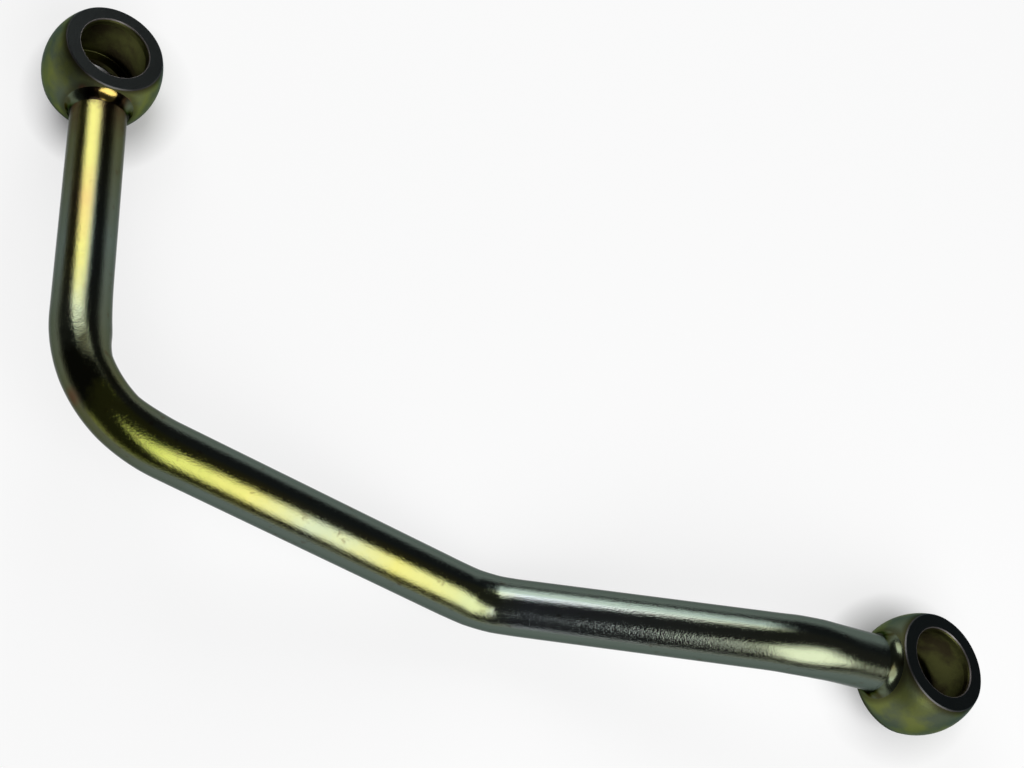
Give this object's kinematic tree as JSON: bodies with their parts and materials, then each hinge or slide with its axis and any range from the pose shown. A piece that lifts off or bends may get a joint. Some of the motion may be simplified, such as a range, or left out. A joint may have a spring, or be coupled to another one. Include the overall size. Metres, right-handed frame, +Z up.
{
  "type": "oil pump pipe",
  "caption": "Rigid bent steel oil pipe with a ball-shaped ring head brazed to each end, for a hollow screw that clamps it to the engine.",
  "frame": {"origin": "middle of the space that the resting pipe takes up, on the surface that it lies on", "axes": "+Z up from that surface, +X along the third run seen from above, towards the short end's ring head"},
  "size_m": [0.33, 0.1874, 0.0548],
  "materials": {
    "tube": "satin yellow and olive chromate on zinc plating",
    "ring_heads": "satin olive chromate on turned and zinc plated steel",
    "braze": "brazing filler under the same plating, stained"
  },
  "bodies": {
    "root": {"pipe_tube": "tube", "ring_head_long_end": "ring_heads", "ring_head_short_end": "ring_heads", "braze_long_end": "braze", "braze_short_end": "braze"}
  },
  "joints": []
}
